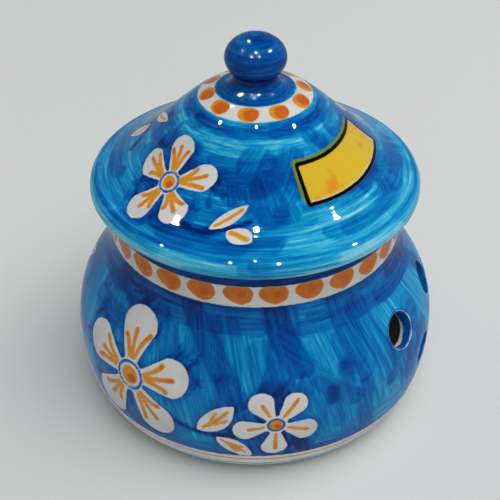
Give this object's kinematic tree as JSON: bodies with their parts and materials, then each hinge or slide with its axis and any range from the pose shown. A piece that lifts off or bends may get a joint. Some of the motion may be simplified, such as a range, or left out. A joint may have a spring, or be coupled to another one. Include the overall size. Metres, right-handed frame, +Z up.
{
  "type": "garlic keeper jar",
  "caption": "Round-bellied glazed earthenware keeper with vent holes in the wall, a straight neck and a bell-shaped lift-off lid with a ball knob.",
  "frame": {"origin": "middle of the foot, on the table", "axes": "+Z up along the axis of turning, -Y towards the front, where the vents are, +X to the right seen from the front"},
  "size_m": [0.16, 0.1597, 0.167],
  "materials": {
    "jar_glaze": "glossy painted tin glaze",
    "lid_glaze": "glossy painted tin glaze",
    "knob_glaze": "glossy painted tin glaze"
  },
  "bodies": {
    "jar": {"jar_body": "jar_glaze"},
    "lid": {"lid": "lid_glaze", "knob": "knob_glaze"}
  },
  "joints": [
    {"name": "lid_lift", "type": "slide", "parent": "jar", "child": "lid", "axis": [0, 0, 1], "range_m": [0, 0.12]}
  ]
}
